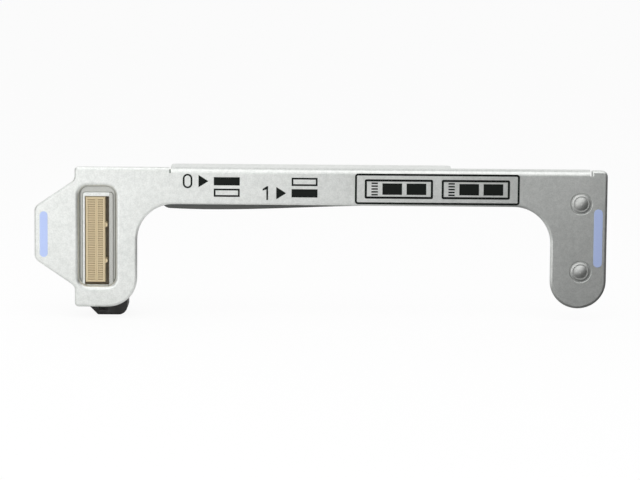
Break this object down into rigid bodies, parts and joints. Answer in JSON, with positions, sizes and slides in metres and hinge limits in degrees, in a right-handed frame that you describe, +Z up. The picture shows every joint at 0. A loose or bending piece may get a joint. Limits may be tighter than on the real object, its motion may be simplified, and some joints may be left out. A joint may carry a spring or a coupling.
{
  "type": "pcie riser card",
  "caption": "Server riser card: an L-shaped board on a folded steel bracket with a finger tab, a windowed board socket and a plug at its foot.",
  "frame": {"origin": "centre of the black system plug's lower, mating face", "axes": "+Z up, away from the socket that the plug goes into; -Y towards the printed front; +X along the beam from the tab to the right leg"},
  "size_m": [0.1992, 0.0203, 0.0532],
  "materials": {
    "sheet_steel": "zinc coated, fine matte grain",
    "plated_steel": "zinc plated, satin",
    "screw_steel": "nickel plated, satin",
    "tin_plate": "tin plated, dull",
    "dark_film": "smooth polyester film",
    "board_laminate": "green solder mask, semi gloss",
    "tan_plastic": "moulded, matte",
    "black_plastic": "moulded, fine satin",
    "header_plastic": "moulded, satin",
    "chip_resin": "moulded resin, matte",
    "ferrite": "pressed ferrite, matte",
    "capacitor_ceramic": "fired ceramic, satin",
    "contact_gold": "gold plated, smooth",
    "blue_ink": "printed ink, matte",
    "black_ink": "printed ink, matte"
  },
  "bodies": {
    "root": {"bracket": "sheet_steel", "upper_rivet_standoff": "plated_steel", "lower_rivet_standoff": "plated_steel", "board_standoffs": "plated_steel", "board_screws": "screw_steel", "insulating_film": "dark_film", "riser_board": "board_laminate", "front_socket": "tan_plastic", "front_socket_contacts": "contact_gold", "system_plug": "black_plastic", "system_plug_contacts": "contact_gold", "slot_0_socket": "black_plastic", "slot_0_contacts": "contact_gold", "slot_1_socket": "black_plastic", "slot_1_contacts": "contact_gold", "socket_hold_downs": "tin_plate", "left_signal_repeater": "chip_resin", "right_signal_repeater": "chip_resin", "power_switch_chip": "chip_resin", "memory_chip": "chip_resin", "memory_chip_leads": "tin_plate", "clock_chip": "tin_plate", "power_inductor": "ferrite", "bulk_capacitors": "capacitor_ceramic", "coupling_capacitors": "capacitor_ceramic", "chip_resistors": "chip_resin", "cable_header": "header_plastic", "cable_header_pins": "contact_gold", "left_touch_mark": "blue_ink", "right_touch_mark": "blue_ink", "slot_0_marks": "black_ink", "slot_1_marks": "black_ink", "sign_frame": "black_ink", "sign_cards": "black_ink"}
  },
  "joints": []
}
